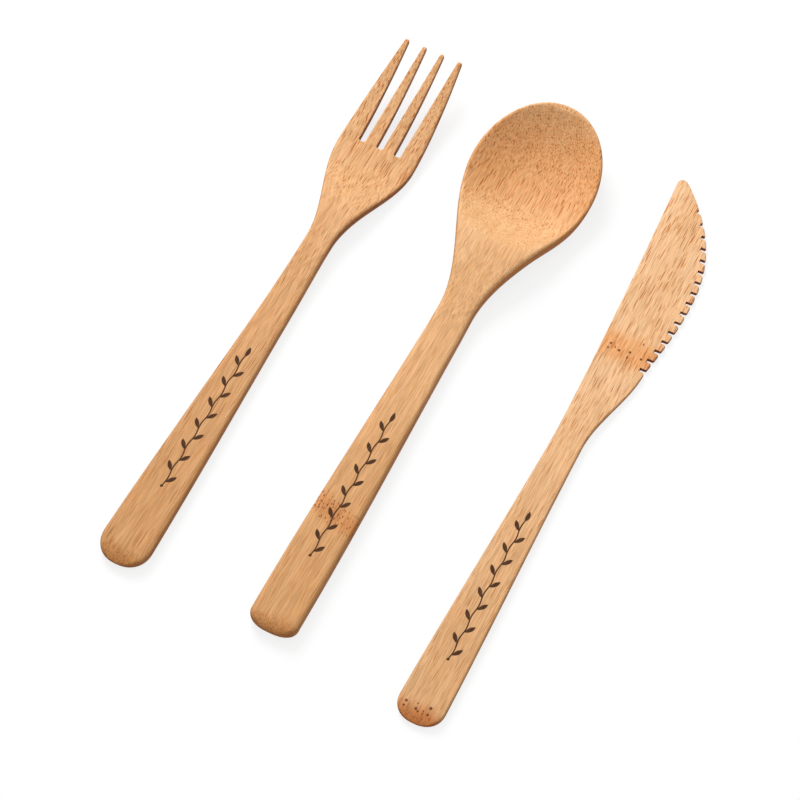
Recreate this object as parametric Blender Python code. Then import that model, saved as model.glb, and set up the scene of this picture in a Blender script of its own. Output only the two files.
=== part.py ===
"""A set of bamboo cutlery: a four-tine fork, a spoon and a serrated knife, lying side by side on a table.

Each piece is one strip of solid bamboo, cut to its outline, hollowed and sanded round. It is made as a
loft: a closed section at each place along its length, its outline and heights given by short formulas.
Slots and notches are then cut out of the loft. Metres, +Z up, handles towards -Y, the table at Z = 0.
In its own frame each piece runs along +Y from its handle's end, with +X to its right.
"""
import math

import bmesh
import bpy
import numpy as np

# Fork: lengths are measured from the handle's end, widths are whole widths
FORK_LENGTH = 0.1978
FORK_END_ROUND = 0.0080
FORK_HANDLE_WIDTH = 0.0161
FORK_NECK_WIDTH = 0.0088
FORK_NECK_AT = 0.1180
FORK_FLARE_FROM = 0.1225
FORK_HEAD_AT = 0.1590
FORK_HEAD_WIDTH = 0.0266
FORK_TIP_SPREAD = 0.0202
FORK_HANDLE_THICKNESS = 0.0038
FORK_HEAD_THICKNESS = 0.0028
FORK_TIP_THICKNESS = 0.0018
FORK_ARCH_FROM = 0.0950
FORK_ARCH_HEIGHT = 0.0017
FORK_ARCH_AT = 0.1320
FORK_BELLY_AT = 0.1550
FORK_TIP_RISE = 0.0085
FORK_TINES = 4
FORK_SLOT_FROM = 0.1612
FORK_SLOT_WIDTH = 0.0022
FORK_SLOT_PITCH = 0.0062
FORK_TINE_TIP_WIDTH = 0.0014
FORK_HANDLE_EDGE = 0.0014
FORK_HEAD_EDGE = 0.0010

# Spoon
SPOON_LENGTH = 0.1959
SPOON_END_ROUND = 0.0046
SPOON_HANDLE_WIDTH = 0.0154
SPOON_TAPER_FROM = 0.0150
SPOON_NECK_WIDTH = 0.0110
SPOON_NECK_AT = 0.1350
SPOON_FLARE_FROM = 0.1180
SPOON_BOWL_AT = 0.1700
SPOON_BOWL_WIDTH = 0.0412
SPOON_HANDLE_THICKNESS = 0.0047
SPOON_ARCH_FROM = 0.1080
SPOON_ARCH_AT = 0.1440
SPOON_ARCH_HEIGHT = 0.0035
SPOON_DISH_FROM = 0.1405
SPOON_BELLY_AT = 0.1640
SPOON_BOWL_THICKNESS = 0.0025
SPOON_RIM_THICKNESS = 0.0021
SPOON_RIM_RISE_FROM = 0.1480
SPOON_TIP_HEIGHT = 0.0130
SPOON_HANDLE_EDGE = 0.0018
SPOON_RIM_EDGE = 0.0010

# Knife: its spine is on the left and its teeth are on the right of the handle's middle line
KNIFE_LENGTH = 0.1995
KNIFE_END_ROUND = 0.0065
KNIFE_HANDLE_WIDTH = 0.0146
KNIFE_NECK_WIDTH = 0.0094
KNIFE_NECK_AT = 0.1010
KNIFE_HEEL_AT = 0.1320
KNIFE_HEEL_REACH = 0.0103
KNIFE_BELLY_AT = 0.1580
KNIFE_BELLY_REACH = 0.0130
KNIFE_SPINE_REACH = 0.0094
KNIFE_NOSE_ROUND = 0.0027
KNIFE_HANDLE_THICKNESS = 0.0024
KNIFE_SPINE_THICKNESS = 0.0021
KNIFE_TOOTH_THICKNESS = 0.0013
KNIFE_HANDLE_EDGE = 0.0008
KNIFE_BLADE_EDGE = 0.0006
KNIFE_NOTCHES = 16
KNIFE_FIRST_NOTCH_AT = 0.1325
KNIFE_NOTCH_PITCH = 0.0039
KNIFE_NOTCH_WIDTH = 0.0020
KNIFE_NOTCH_DEPTH = 0.0018
KNIFE_TOOTH_ROUND = 0.0005

# Places of the pieces on the table: clear gaps, and how far two of them lie back from the spoon's handle end
FORK_TO_SPOON_GAP = 0.0160
SPOON_TO_KNIFE_GAP = 0.0195
FORK_SET_BACK = 0.0014
KNIFE_SET_BACK = 0.0052
FORK_TURN = math.radians(-0.66)
KNIFE_TURN = math.radians(0.2)

# Shape of the curves
END_POWER = 2.2
EDGE_POWER = 2.6
TINE_TAPER_POWER = 1.6
TINE_RISE_POWER = 1.5
RIM_RISE_POWER = 1.4
DISH_POWER = 2.2
UNDERSIDE_POWER = 2.6
HANDLE_EASE = 0.4
SPINE_POWER = 1.4
NOSE_POWERS = (2.4, 1.0)
DISH_EASE = 0.6
ELLIPSE = 2.0
TINE_END_SHARE = 0.4
WIDEST_EDGE_SHARE = 0.49

# Fineness of the lofts and of the cutters' arcs
HANDLE_STEP = 0.0085
PALM_STEP = 0.0020
TINE_STEP = 0.0040
BOWL_STEP = 0.0024
BLADE_STEP = 0.0030
END_STEPS = 5
EDGE_STEPS = 4
BOWL_END_STEPS = 14
NOSE_STEPS = 15
SLOT_STEPS = 8
ARC_STEPS = 3
FORK_ACROSS_STEPS = 8
SPOON_ACROSS_STEPS = 12
KNIFE_ACROSS_STEPS = 5
TINE_END_ARC = (25.0, 75.0)
TOOTH_ARC = (0.0, 70.0)
SHARP_ANGLE = math.radians(40.0)
CUT_MARGIN = 0.0030
POINT_WIDTH = 0.00005

BAMBOO = {
    "fork": (0.665, 0.362, 0.174),
    "spoon": (0.687, 0.371, 0.174),
    "knife": (0.745, 0.440, 0.227),
}
BAMBOO_ROUGHNESS = 0.55


def clear_scene():
    """Takes every object out of the scene."""
    for thing in list(bpy.data.objects):
        bpy.data.objects.remove(thing, do_unlink=True)


def eased(y, start, stop, ease=1.0):
    """Goes from 0 at start to 1 at stop. An ease of 1 is level at both ends, and 0 is a straight line."""
    t = np.clip((y - start) / (stop - start), 0.0, 1.0)
    return t + ease * (t * t * (3.0 - 2.0 * t) - t)


def rounded(distance, reach, power=END_POWER):
    """Grows from 0 to 1 over the reach, as an ellipse's edge does, or a squarer oval's at higher powers."""
    t = 1.0 - np.clip(distance / reach, 0.0, 1.0)
    return (1.0 - t ** power) ** (1.0 / power)


def even_places(start, stop, step):
    """Places from start to stop, both included, no further apart than the step."""
    return np.linspace(start, stop, max(1, math.ceil((stop - start) / step)) + 1)


def end_places(reach):
    """Distances from an end that crowd towards it, so that its round form keeps its shape."""
    angles = np.linspace(0.0, math.pi / 2, END_STEPS + 1)[1:]
    return reach * (1.0 - np.cos(angles))


def loft(name, y, left, right, top, under, edge, ends, across_steps):
    """A closed body through one section at each place y.

    left and right are the section's sides. top and under give its heights for an array of places across it.
    edge is how far in from each side the section is rounded, as a squared oval. ends shrinks its thickness
    towards a rounded end of the piece. A section of hardly any width is a single point.
    """
    turn = np.linspace(0.0, math.pi / 2, EDGE_STEPS + 1)
    inwards = 1.0 - np.cos(turn) ** (2.0 / EDGE_POWER)
    fullness = np.sin(turn) ** (2.0 / EDGE_POWER)
    flat = np.linspace(0.0, 1.0, across_steps + 1)[1:-1]
    fullness = np.concatenate([fullness, np.ones(len(flat)), fullness[::-1]])
    mesh = bmesh.new()
    rings = []
    for i, place in enumerate(y):
        width = right[i] - left[i]
        if width < POINT_WIDTH:
            middle = 0.5 * (top(i, left[i]) + under(i, left[i]))
            rings.append([mesh.verts.new((left[i], place, middle))])
            continue
        soft = min(edge[i], WIDEST_EDGE_SHARE * width)
        across = np.concatenate([
            left[i] + soft * inwards,
            left[i] + soft + (width - 2.0 * soft) * flat,
            right[i] - soft * inwards[::-1],
        ])
        high = top(i, across)
        low = under(i, across)
        half = 0.5 * (high - low) * fullness * ends[i]
        middle = 0.5 * (high + low)
        upper = [mesh.verts.new(point) for point in zip(across, np.full_like(across, place), middle + half)]
        lower = [
            mesh.verts.new(point)
            for point in zip(across[1:-1], np.full_like(across[1:-1], place), (middle - half)[1:-1])
        ]
        rings.append(upper + lower[::-1])
    for near, far in zip(rings, rings[1:]):
        count = max(len(near), len(far))
        for k in range(count):
            n = (k + 1) % count
            if len(near) == 1:
                mesh.faces.new((near[0], far[k], far[n]))
            elif len(far) == 1:
                mesh.faces.new((near[k], far[0], near[n]))
            else:
                mesh.faces.new((near[k], far[k], far[n], near[n]))
    for ring in (rings[0], rings[-1]):
        if len(ring) > 1:
            mesh.faces.new(ring)
    bmesh.ops.recalc_face_normals(mesh, faces=mesh.faces)
    return finished(name, mesh)


def finished(name, mesh):
    """Puts a mesh into a named object in the scene."""
    data = bpy.data.meshes.new(name)
    mesh.to_mesh(data)
    mesh.free()
    thing = bpy.data.objects.new(name, data)
    bpy.context.scene.collection.objects.link(thing)
    return thing


def prism(name, outline, low, high):
    """An upright prism on a flat outline, used as a cutter."""
    mesh = bmesh.new()
    corners = [mesh.verts.new((x, y, low)) for x, y in outline]
    base = mesh.faces.new(corners)
    lifted = bmesh.ops.extrude_face_region(mesh, geom=[base])
    risen = [item for item in lifted["geom"] if isinstance(item, bmesh.types.BMVert)]
    bmesh.ops.translate(mesh, vec=(0.0, 0.0, high - low), verts=risen)
    bmesh.ops.recalc_face_normals(mesh, faces=mesh.faces)
    return finished(name, mesh)


def cut_with(body, cutters):
    """Cuts a row of cutters out of a body."""
    group = bpy.data.collections.new(body.name + "_cutters")
    bpy.context.scene.collection.children.link(group)
    for cutter in cutters:
        bpy.context.scene.collection.objects.unlink(cutter)
        group.objects.link(cutter)
        cutter.parent = body
        cutter.hide_render = True
        cutter.display_type = "WIRE"
    cut = body.modifiers.new("cuts", "BOOLEAN")
    cut.operation = "DIFFERENCE"
    cut.operand_type = "COLLECTION"
    cut.collection = group


def bamboo(name):
    """Sanded bamboo in the tone of one piece."""
    material = bpy.data.materials.new("bamboo_" + name)
    material.use_nodes = True
    surface = material.node_tree.nodes["Principled BSDF"]
    surface.inputs["Base Color"].default_value = (*BAMBOO[name], 1.0)
    surface.inputs["Roughness"].default_value = BAMBOO_ROUGHNESS
    surface.inputs["Metallic"].default_value = 0.0
    return material


def dress(thing):
    """Smooth shading away from the sharp edges, and the piece's bamboo."""
    thing.data.materials.append(bamboo(thing.name))
    thing.data.shade_smooth()
    thing.data.set_sharp_from_angle(angle=SHARP_ANGLE)


def fork():
    """The fork: a flat tapered handle, an arched neck, a thin head on its belly and four rising tines."""
    tip_round = FORK_TINE_TIP_WIDTH / 2
    y = np.unique(np.concatenate([
        [0.0],
        end_places(FORK_END_ROUND),
        even_places(FORK_END_ROUND, FORK_FLARE_FROM, HANDLE_STEP),
        even_places(FORK_FLARE_FROM, FORK_HEAD_AT, PALM_STEP),
        even_places(FORK_HEAD_AT, FORK_LENGTH - tip_round, TINE_STEP),
        FORK_LENGTH - end_places(tip_round),
    ]))
    from_tip = FORK_LENGTH - y
    taper = eased(y, FORK_END_ROUND, FORK_NECK_AT, HANDLE_EASE)
    flare = eased(y, FORK_FLARE_FROM, FORK_HEAD_AT)
    narrowing = eased(y, FORK_HEAD_AT, FORK_LENGTH, 0.0) ** TINE_TAPER_POWER
    width = FORK_HANDLE_WIDTH + (FORK_NECK_WIDTH - FORK_HANDLE_WIDTH) * taper
    width += (FORK_HEAD_WIDTH - FORK_NECK_WIDTH) * flare + (FORK_TIP_SPREAD - FORK_HEAD_WIDTH) * narrowing
    half = 0.5 * width * rounded(y, FORK_END_ROUND)
    half -= tip_round * (1.0 - rounded(from_tip, tip_round, ELLIPSE))
    arch = eased(y, FORK_ARCH_FROM, FORK_ARCH_AT) - eased(y, FORK_ARCH_AT, FORK_BELLY_AT)
    climb = np.clip((y - FORK_BELLY_AT) / (FORK_LENGTH - FORK_BELLY_AT), 0.0, 1.0)
    under = FORK_ARCH_HEIGHT * arch + FORK_TIP_RISE * climb ** TINE_RISE_POWER
    thinning = eased(y, FORK_ARCH_AT, FORK_BELLY_AT)
    thickness = FORK_HANDLE_THICKNESS + (FORK_HEAD_THICKNESS - FORK_HANDLE_THICKNESS) * thinning
    thickness += (FORK_TIP_THICKNESS - FORK_HEAD_THICKNESS) * climb
    edge = FORK_HANDLE_EDGE + (FORK_HEAD_EDGE - FORK_HANDLE_EDGE) * thinning
    ends = TINE_END_SHARE + (1.0 - TINE_END_SHARE) * rounded(from_tip, tip_round, ELLIPSE)
    ends *= rounded(y, FORK_END_ROUND, ELLIPSE)
    body = loft(
        "fork", y, -half, half,
        lambda i, x: under[i] + thickness[i] + 0.0 * x,
        lambda i, x: under[i] + 0.0 * x,
        edge, ends, FORK_ACROSS_STEPS,
    )
    cut_with(body, [fork_slot(k) for k in range(FORK_TINES - 1)])
    dress(body)
    return body


def fork_slot(k):
    """The cutter of one slot. It widens towards the tips as the tines taper, and rounds each tine's end."""
    centre = (k - (FORK_TINES - 2) / 2) * FORK_SLOT_PITCH
    tip_round = FORK_TINE_TIP_WIDTH / 2
    mouth = FORK_SLOT_PITCH - FORK_TINE_TIP_WIDTH
    y = np.linspace(FORK_SLOT_FROM, FORK_LENGTH - tip_round, SLOT_STEPS + 1)
    t = (y - FORK_SLOT_FROM) / (FORK_LENGTH - tip_round - FORK_SLOT_FROM)
    half = 0.5 * (FORK_SLOT_WIDTH + (mouth - FORK_SLOT_WIDTH) * t ** TINE_TAPER_POWER)
    turn = np.radians(np.linspace(*TINE_END_ARC, ARC_STEPS))
    y = np.concatenate([y, FORK_LENGTH - tip_round + tip_round * np.sin(turn), [FORK_LENGTH + CUT_MARGIN]])
    half = np.concatenate([half, mouth / 2 + tip_round * (1.0 - np.cos(turn))])
    half = np.append(half, half[-1])
    right = list(zip(centre + half, y))
    left = list(zip(centre - half, y))
    high = FORK_TIP_RISE + FORK_HANDLE_THICKNESS + CUT_MARGIN
    return prism(f"fork_slot_{k + 1}", right + left[::-1], -CUT_MARGIN, high)


def spoon():
    """The spoon: a flat tapered handle whose shoulders flare into an oval bowl that rises to its tip."""
    bowl_end = np.sin(np.linspace(0.0, math.pi / 2, BOWL_END_STEPS + 1))
    y = np.unique(np.concatenate([
        [0.0],
        end_places(SPOON_END_ROUND),
        even_places(SPOON_END_ROUND, SPOON_FLARE_FROM, HANDLE_STEP),
        even_places(SPOON_FLARE_FROM, SPOON_BOWL_AT, BOWL_STEP),
        SPOON_BOWL_AT + (SPOON_LENGTH - SPOON_BOWL_AT) * bowl_end,
    ]))
    from_tip = SPOON_LENGTH - y
    taper = eased(y, SPOON_TAPER_FROM, SPOON_NECK_AT)
    flare = eased(y, SPOON_FLARE_FROM, SPOON_BOWL_AT)
    width = SPOON_HANDLE_WIDTH + (SPOON_NECK_WIDTH - SPOON_HANDLE_WIDTH) * taper
    width += (SPOON_BOWL_WIDTH - SPOON_NECK_WIDTH) * flare
    half = 0.5 * width * rounded(y, SPOON_END_ROUND)
    half *= rounded(from_tip, SPOON_LENGTH - SPOON_BOWL_AT, ELLIPSE)
    climb = np.clip((y - SPOON_RIM_RISE_FROM) / (SPOON_LENGTH - SPOON_RIM_RISE_FROM), 0.0, 1.0)
    arch = eased(y, SPOON_ARCH_FROM, SPOON_ARCH_AT) - eased(y, SPOON_ARCH_AT, SPOON_BELLY_AT)
    lift = SPOON_ARCH_HEIGHT * arch
    rim = lift + SPOON_HANDLE_THICKNESS
    rim += (SPOON_TIP_HEIGHT - SPOON_HANDLE_THICKNESS) * climb ** RIM_RISE_POWER
    hull = 1.0 - rounded(from_tip, SPOON_LENGTH - SPOON_BELLY_AT, ELLIPSE)
    under_middle = lift + (SPOON_TIP_HEIGHT - SPOON_RIM_THICKNESS) * hull
    thinning = eased(y, SPOON_DISH_FROM, SPOON_BELLY_AT, DISH_EASE)
    thickness = SPOON_HANDLE_THICKNESS + (SPOON_BOWL_THICKNESS - SPOON_HANDLE_THICKNESS) * thinning
    top_middle = np.minimum(under_middle + thickness, rim)
    under_side = lift + (rim - SPOON_RIM_THICKNESS - lift) * eased(y, SPOON_RIM_RISE_FROM, SPOON_BOWL_AT)
    edge = SPOON_HANDLE_EDGE
    edge += (SPOON_RIM_EDGE - SPOON_HANDLE_EDGE) * eased(y, SPOON_DISH_FROM, SPOON_BOWL_AT)
    ends = rounded(y, SPOON_END_ROUND, ELLIPSE) * rounded(from_tip, SPOON_RIM_EDGE, ELLIPSE)

    def top(i, x):
        side = np.abs(x) / max(half[i], POINT_WIDTH)
        return top_middle[i] + (rim[i] - top_middle[i]) * side ** DISH_POWER

    def under(i, x):
        side = np.abs(x) / max(half[i], POINT_WIDTH)
        return under_middle[i] + (under_side[i] - under_middle[i]) * side ** UNDERSIDE_POWER

    body = loft("spoon", y, -half, half, top, under, edge, ends, SPOON_ACROSS_STEPS)
    dress(body)
    return body


def knife_edge(y):
    """How far the cutting edge stands to the right of the handle's middle line.

    It is level along the neck, has an eased step to the heel, a bow to the belly and a sweep to the nose.
    """
    neck = 0.5 * KNIFE_NECK_WIDTH
    heel = neck + (KNIFE_HEEL_REACH - neck) * eased(y, KNIFE_NECK_AT, KNIFE_HEEL_AT)
    bow = np.sin(0.5 * math.pi * eased(y, KNIFE_HEEL_AT, KNIFE_BELLY_AT, 0.0))
    bow *= KNIFE_BELLY_REACH - KNIFE_HEEL_REACH
    along, out = NOSE_POWERS
    t = np.clip((y - KNIFE_BELLY_AT) / (KNIFE_LENGTH - KNIFE_BELLY_AT), 0.0, 1.0)
    sweep = KNIFE_BELLY_REACH + KNIFE_SPINE_REACH - KNIFE_NOSE_ROUND
    sweep *= 1.0 - (1.0 - t ** along) ** (1.0 / out)
    return heel + bow - sweep


def knife():
    """The knife: a flat tapered handle, and a thin blade with a straight spine, a belly and square teeth."""
    nose_end = np.sin(np.linspace(0.0, math.pi / 2, NOSE_STEPS + 1))
    y = np.unique(np.concatenate([
        [0.0],
        end_places(KNIFE_END_ROUND),
        even_places(KNIFE_END_ROUND, KNIFE_NECK_AT, HANDLE_STEP),
        even_places(KNIFE_NECK_AT, KNIFE_BELLY_AT, BLADE_STEP),
        KNIFE_BELLY_AT + (KNIFE_LENGTH - KNIFE_BELLY_AT) * nose_end,
    ]))
    from_tip = KNIFE_LENGTH - y
    taper = eased(y, KNIFE_END_ROUND, KNIFE_NECK_AT, HANDLE_EASE)
    blade = eased(y, KNIFE_NECK_AT, KNIFE_HEEL_AT)
    handle_half = 0.5 * (KNIFE_HANDLE_WIDTH + (KNIFE_NECK_WIDTH - KNIFE_HANDLE_WIDTH) * taper)
    butt = rounded(y, KNIFE_END_ROUND)
    right = np.where(y < KNIFE_NECK_AT, handle_half * butt, knife_edge(y))
    lean = KNIFE_SPINE_REACH - 0.5 * KNIFE_NECK_WIDTH
    lean *= eased(y, KNIFE_NECK_AT, KNIFE_LENGTH, 0.0) ** SPINE_POWER
    nose = KNIFE_NOSE_ROUND * (1.0 - rounded(from_tip, KNIFE_NOSE_ROUND, ELLIPSE))
    left = -(handle_half * butt + lean - nose)
    spine = KNIFE_HANDLE_THICKNESS + (KNIFE_SPINE_THICKNESS - KNIFE_HANDLE_THICKNESS) * blade
    drop = (KNIFE_SPINE_THICKNESS - KNIFE_TOOTH_THICKNESS) * blade
    edge = KNIFE_HANDLE_EDGE + (KNIFE_BLADE_EDGE - KNIFE_HANDLE_EDGE) * blade
    ends = rounded(y, KNIFE_END_ROUND, ELLIPSE) * rounded(from_tip, KNIFE_NOSE_ROUND, ELLIPSE)
    full = KNIFE_SPINE_REACH + KNIFE_BELLY_REACH
    body = loft(
        "knife", y, left, right,
        lambda i, x: spine[i] - drop[i] * (x - left[i]) / full,
        lambda i, x: 0.0 * x,
        edge, ends, KNIFE_ACROSS_STEPS,
    )
    cut_with(body, [knife_notch(k) for k in range(KNIFE_NOTCHES)])
    dress(body)
    return body


def knife_notch(k):
    """The cutter of one notch: square at its root, its mouth rounding the corners of the teeth beside it."""
    middle = KNIFE_FIRST_NOTCH_AT + k * KNIFE_NOTCH_PITCH
    root = float(knife_edge(middle)) - KNIFE_NOTCH_DEPTH
    outside = KNIFE_BELLY_REACH + CUT_MARGIN
    turn = np.radians(np.linspace(*TOOTH_ARC, ARC_STEPS + 1))
    sides = []
    for side in (-1.0, 1.0):
        flank = middle + side * KNIFE_NOTCH_WIDTH / 2
        shift = side * KNIFE_TOOTH_ROUND * (1.0 - np.cos(turn))
        slope = knife_edge(flank + shift)
        reach = slope - KNIFE_TOOTH_ROUND * (1.0 - np.sin(turn))
        mouth = list(zip(reach, flank + shift))
        sides.append([(root, flank)] + mouth + [(outside, flank + shift[-1])])
    near, far = sides
    return prism(f"knife_notch_{k + 1}", near + far[::-1], -CUT_MARGIN, KNIFE_HANDLE_THICKNESS + CUT_MARGIN)


def lay_out(fork_body, spoon_body, knife_body):
    """Lays the pieces side by side, with the middle of the whole set over the origin."""
    fork_across = -(0.5 * SPOON_BOWL_WIDTH + FORK_TO_SPOON_GAP + 0.5 * FORK_HEAD_WIDTH)
    knife_across = 0.5 * SPOON_BOWL_WIDTH + SPOON_TO_KNIFE_GAP + KNIFE_SPINE_REACH
    table_spot = bpy.data.objects.new("table_spot", None)
    bpy.context.scene.collection.objects.link(table_spot)
    for body, across, back, turn in (
        (fork_body, fork_across, FORK_SET_BACK, FORK_TURN),
        (spoon_body, 0.0, 0.0, 0.0),
        (knife_body, knife_across, KNIFE_SET_BACK, KNIFE_TURN),
    ):
        body.parent = table_spot
        body.location = (across, -back, 0.0)
        body.rotation_euler = (0.0, 0.0, turn)
    bpy.context.view_layer.update()
    low, high = extent([fork_body, spoon_body, knife_body])
    table_spot.location = (-0.5 * (low[0] + high[0]), -0.5 * (low[1] + high[1]), -low[2])


def extent(bodies):
    """The lowest and highest corner of the finished bodies in the world."""
    graph = bpy.context.evaluated_depsgraph_get()
    corners = []
    for body in bodies:
        shaped = body.evaluated_get(graph)
        points = np.empty(3 * len(shaped.data.vertices))
        shaped.data.vertices.foreach_get("co", points)
        turned = np.array(shaped.matrix_world)
        corners.append(points.reshape(-1, 3) @ turned[:3, :3].T + turned[:3, 3])
    points = np.concatenate(corners)
    return points.min(axis=0), points.max(axis=0)


clear_scene()
lay_out(fork(), spoon(), knife())
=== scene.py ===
"""Bamboo fork, spoon and knife, laid side by side on a white table and dressed for a studio picture.

Each piece of cutlery is a fine surface that stands for the plain solid of the same name. Its outline and its
heights are short formulas of the place along the strip, and its wood is worked out in three dimensions, so
the fibres run out as streaks on the flats and as dots where the sanding crosses them.
"""
import math
from typing import NamedTuple

import bmesh
import bpy
import numpy as np
from bpy.props import FloatProperty, FloatVectorProperty, IntProperty, PointerProperty
from mathutils import Matrix, Vector


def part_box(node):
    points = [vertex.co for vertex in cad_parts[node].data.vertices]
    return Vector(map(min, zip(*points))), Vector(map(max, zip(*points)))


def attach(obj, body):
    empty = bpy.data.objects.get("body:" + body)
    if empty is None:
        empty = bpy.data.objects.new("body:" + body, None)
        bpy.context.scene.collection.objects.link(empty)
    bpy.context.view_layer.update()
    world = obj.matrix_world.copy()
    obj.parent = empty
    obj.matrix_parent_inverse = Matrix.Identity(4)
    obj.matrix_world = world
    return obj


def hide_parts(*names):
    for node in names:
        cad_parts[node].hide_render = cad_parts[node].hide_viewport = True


bl_info = {
    "name": "Bamboo cutlery",
    "version": (1, 0, 0),
    "blender": (4, 5, 0),
    "location": "View3D > Sidebar > Cutlery",
    "description": "Builds a bamboo fork, spoon and knife and the table they lie on",
    "category": "Object",
}

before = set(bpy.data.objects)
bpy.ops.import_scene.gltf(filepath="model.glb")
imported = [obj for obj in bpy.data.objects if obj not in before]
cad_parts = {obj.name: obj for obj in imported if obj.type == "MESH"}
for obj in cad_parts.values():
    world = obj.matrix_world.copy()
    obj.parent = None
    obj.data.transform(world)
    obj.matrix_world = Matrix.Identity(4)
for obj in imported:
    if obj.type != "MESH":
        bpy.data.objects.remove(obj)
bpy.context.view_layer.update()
BODY = "root"

# How the meshes are made
WELD = 1e-6
TINY = 1e-9
SHARP = math.radians(38.0)
STEP = 0.0005
FINE_STEP = 0.0004
ROOT_ROWS = 0.001
TIP_ROWS = 0.004
HAIR = 0.00006
NOTCH_MARGIN = 0.0006
EDGE_MOST = 0.49
FRONT_EDGE = 0.3
LEAST_FRONT = 0.05
TABLE_DROP = 0.0001

# Powers of the rounded edges, from an ellipse to a squarer oval
ELLIPSE = 2.0
SOFT_OVAL = 2.2
OVAL = 2.6
SQUARE_OVAL = 4.0

# Powers and eases of the curves
HANDLE_EASE = 0.4
TINE_NARROWING = 1.6
TINE_CLIMB = 1.5
RIM_CLIMB = 1.4
DISH_CLIMB = 2.2
DISH_SIDE = 2.2
DISH_EASE = 0.3
BOW_EASE = 0.5
HULL_SIDE = 2.6
SPINE_LEAN = 1.4
NOSE_SWEEP = 2.4

# Lengths of roundings, for the half width or the half thickness that they round
TIP_LENGTH = 1.6
RIM_MOST = 0.8

# The wood's broad patterns, whose cells have sizes across, along and up
SWAY_CELL = (0.02, 0.05, 0.02)
SWAY = (0.0012, 0.0, 0.0024)
STAGGER_CELL = (0.0017, 0.50, 0.0017)
BROAD_CELL = (0.0021, 0.07, 0.0021)
PATCH_CELL = (0.010, 0.026, 0.006)
WAVE_CELL = (0.005, 0.02, 0.01)
WAVE = 0.0018
END_BOW = 28.0
HANDLE_SHADE = (0.03, 0.14)
# How softly the deeper painted shade on the sides begins, across and along
SHADE_SCORCH_BLUR_ACROSS = 0.002
SHADE_SCORCH_BLUR_ALONG = 0.004

# Strokes, as the core and the rim of a cell and the weakest stroke's strength
BUNDLE = (0.22, 0.34, 0.3)
THREAD = (0.22, 0.38, 0.25)
PALE = (0.05, 0.14, 0.1)
UNEVEN_STROKES = 0.9
UNEVEN_SPECKS = 0.85

# Where masks begin and end, some with the values that they carry there
BROAD_RANGE = (0.32, 0.68)
PATCH_RANGE = (0.42, 0.70, 0.0, 0.30)
FIBRE_SHADE = (0.28, 0.72, 0.80, 1.16)
BURNT_FIBRES = (0.15, 0.6, 0.88, 1.0)
DASH_RIM = (0.20, 0.38)
FLECK_RIM = (0.18, 0.42)
FLECK_SHARE = (0.25, 0.9)
# How sideways a surface must face to take the painted shade on the sides
SIDE_FACING = (0.25, 0.68)
LEAF_RIM = (0.86, 1.12)

# How much of a colour or a stain is laid on
PALE_STRENGTH = 0.65
# Strength of the bands' stain, the painted shade in the spoon's dish among them
BAND_STRENGTH = 0.8
DASH_STRENGTH = 0.95
END_STRENGTH = 0.9
HALO_STRENGTH = 0.4
PORE_STRENGTH = 0.92

# Tints and stains, as shares of what lies under them
LIGHT = (1.04, 1.06, 1.09)
DEEP = (0.96, 0.93, 0.88)
WORN = (0.97, 0.86, 0.70)
# The bands' stain, for the growth rings and for the painted shade in the spoon's dish
BAND_STAIN = (0.96, 0.76, 0.56)
DASH_STAIN = (0.32, 0.15, 0.08)
FLECK_STAIN = (0.50, 0.32, 0.20)
HALO_STAIN = (0.84, 0.58, 0.34)

# How the surface takes the light
ROUGHER = 0.2
BUNDLE_HOLLOW = 0.7
BUMP_STRENGTH = 0.4
BUMP_HEIGHT = 0.00004

# The burnt ornament
TOP_FACE_FROM = 0.0017
LEAF_PITCH = 0.0040
LEAF_COUNT = 12
LEAF_SLANT = math.radians(38.0)
LEAF_ASIDE = 0.00122
LEAF_LONG = 0.0019
LEAF_WIDE = 0.00066
STEM_WIDE = 0.00022
STEM_WAVE = 0.00022
DOT_REACH = 0.00048


def size(name, description, default):
    """A length in metres that a user may change."""
    return FloatProperty(name=name, description=description, default=default, unit="LENGTH", precision=5)


def angle(name, description, default):
    """An angle, given here in degrees."""
    return FloatProperty(name=name, description=description, default=math.radians(default), unit="ROTATION")


def share(name, description, default):
    """A plain number."""
    return FloatProperty(name=name, description=description, default=default, precision=3)


def colour(name, description, default):
    """A linear colour."""
    return FloatVectorProperty(
        name=name, description=description, default=default, subtype="COLOR", min=0.0, max=1.0,
    )


class ForkSizes(bpy.types.PropertyGroup):
    """The fork's shape. Lengths run from the handle's end, and widths are whole widths."""

    length: size("Length", "Handle's end to tips", 0.1978)
    end_round: size("End rounding", "Length of the handle's round end", 0.0080)
    handle_width: size("Handle width", "Widest part of the handle", 0.0161)
    neck_width: size("Neck width", "Narrowest part", 0.0088)
    neck_at: size("Neck", "Where the handle stops tapering", 0.1180)
    flare_from: size("Flare", "Where the palm starts to widen", 0.1225)
    head_at: size("Head", "Where the head is widest", 0.1590)
    head_width: size("Head width", "Widest part of the head", 0.0266)
    tip_spread: size("Tip spread", "Width over the outer tips", 0.0202)
    handle_thickness: size("Handle thickness", "Thickness of the handle", 0.0038)
    head_thickness: size("Head thickness", "Thickness of the palm", 0.0028)
    tip_thickness: size("Tip thickness", "Thickness at the tips", 0.0018)
    arch_from: size("Arch start", "Where the neck leaves the table", 0.0950)
    arch_at: size("Arch top", "Where the neck is highest", 0.1320)
    arch_height: size("Arch height", "Height of the neck's underside", 0.0017)
    belly_at: size("Belly", "Where the head meets the table", 0.1550)
    tip_rise: size("Tip rise", "Height of the tips' underside", 0.0085)
    slot_from: size("Slot root", "Where the slots start", 0.1612)
    slot_width: size("Slot width", "Width at the root", 0.0022)
    slot_pitch: size("Slot pitch", "Slot to slot", 0.0062)
    tine_tip_width: size("Tine tip", "Width of a tine's tip", 0.0014)
    handle_edge: size("Handle edge", "How far in the handle is sanded round", 0.0014)
    head_edge: size("Head edge", "How far in the head is sanded round", 0.0010)
    slot_edge: size("Slot edge", "Rounding of the slots' rims", 0.00035)
    turn: angle("Turn", "Turn on the table", -0.66)


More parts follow.
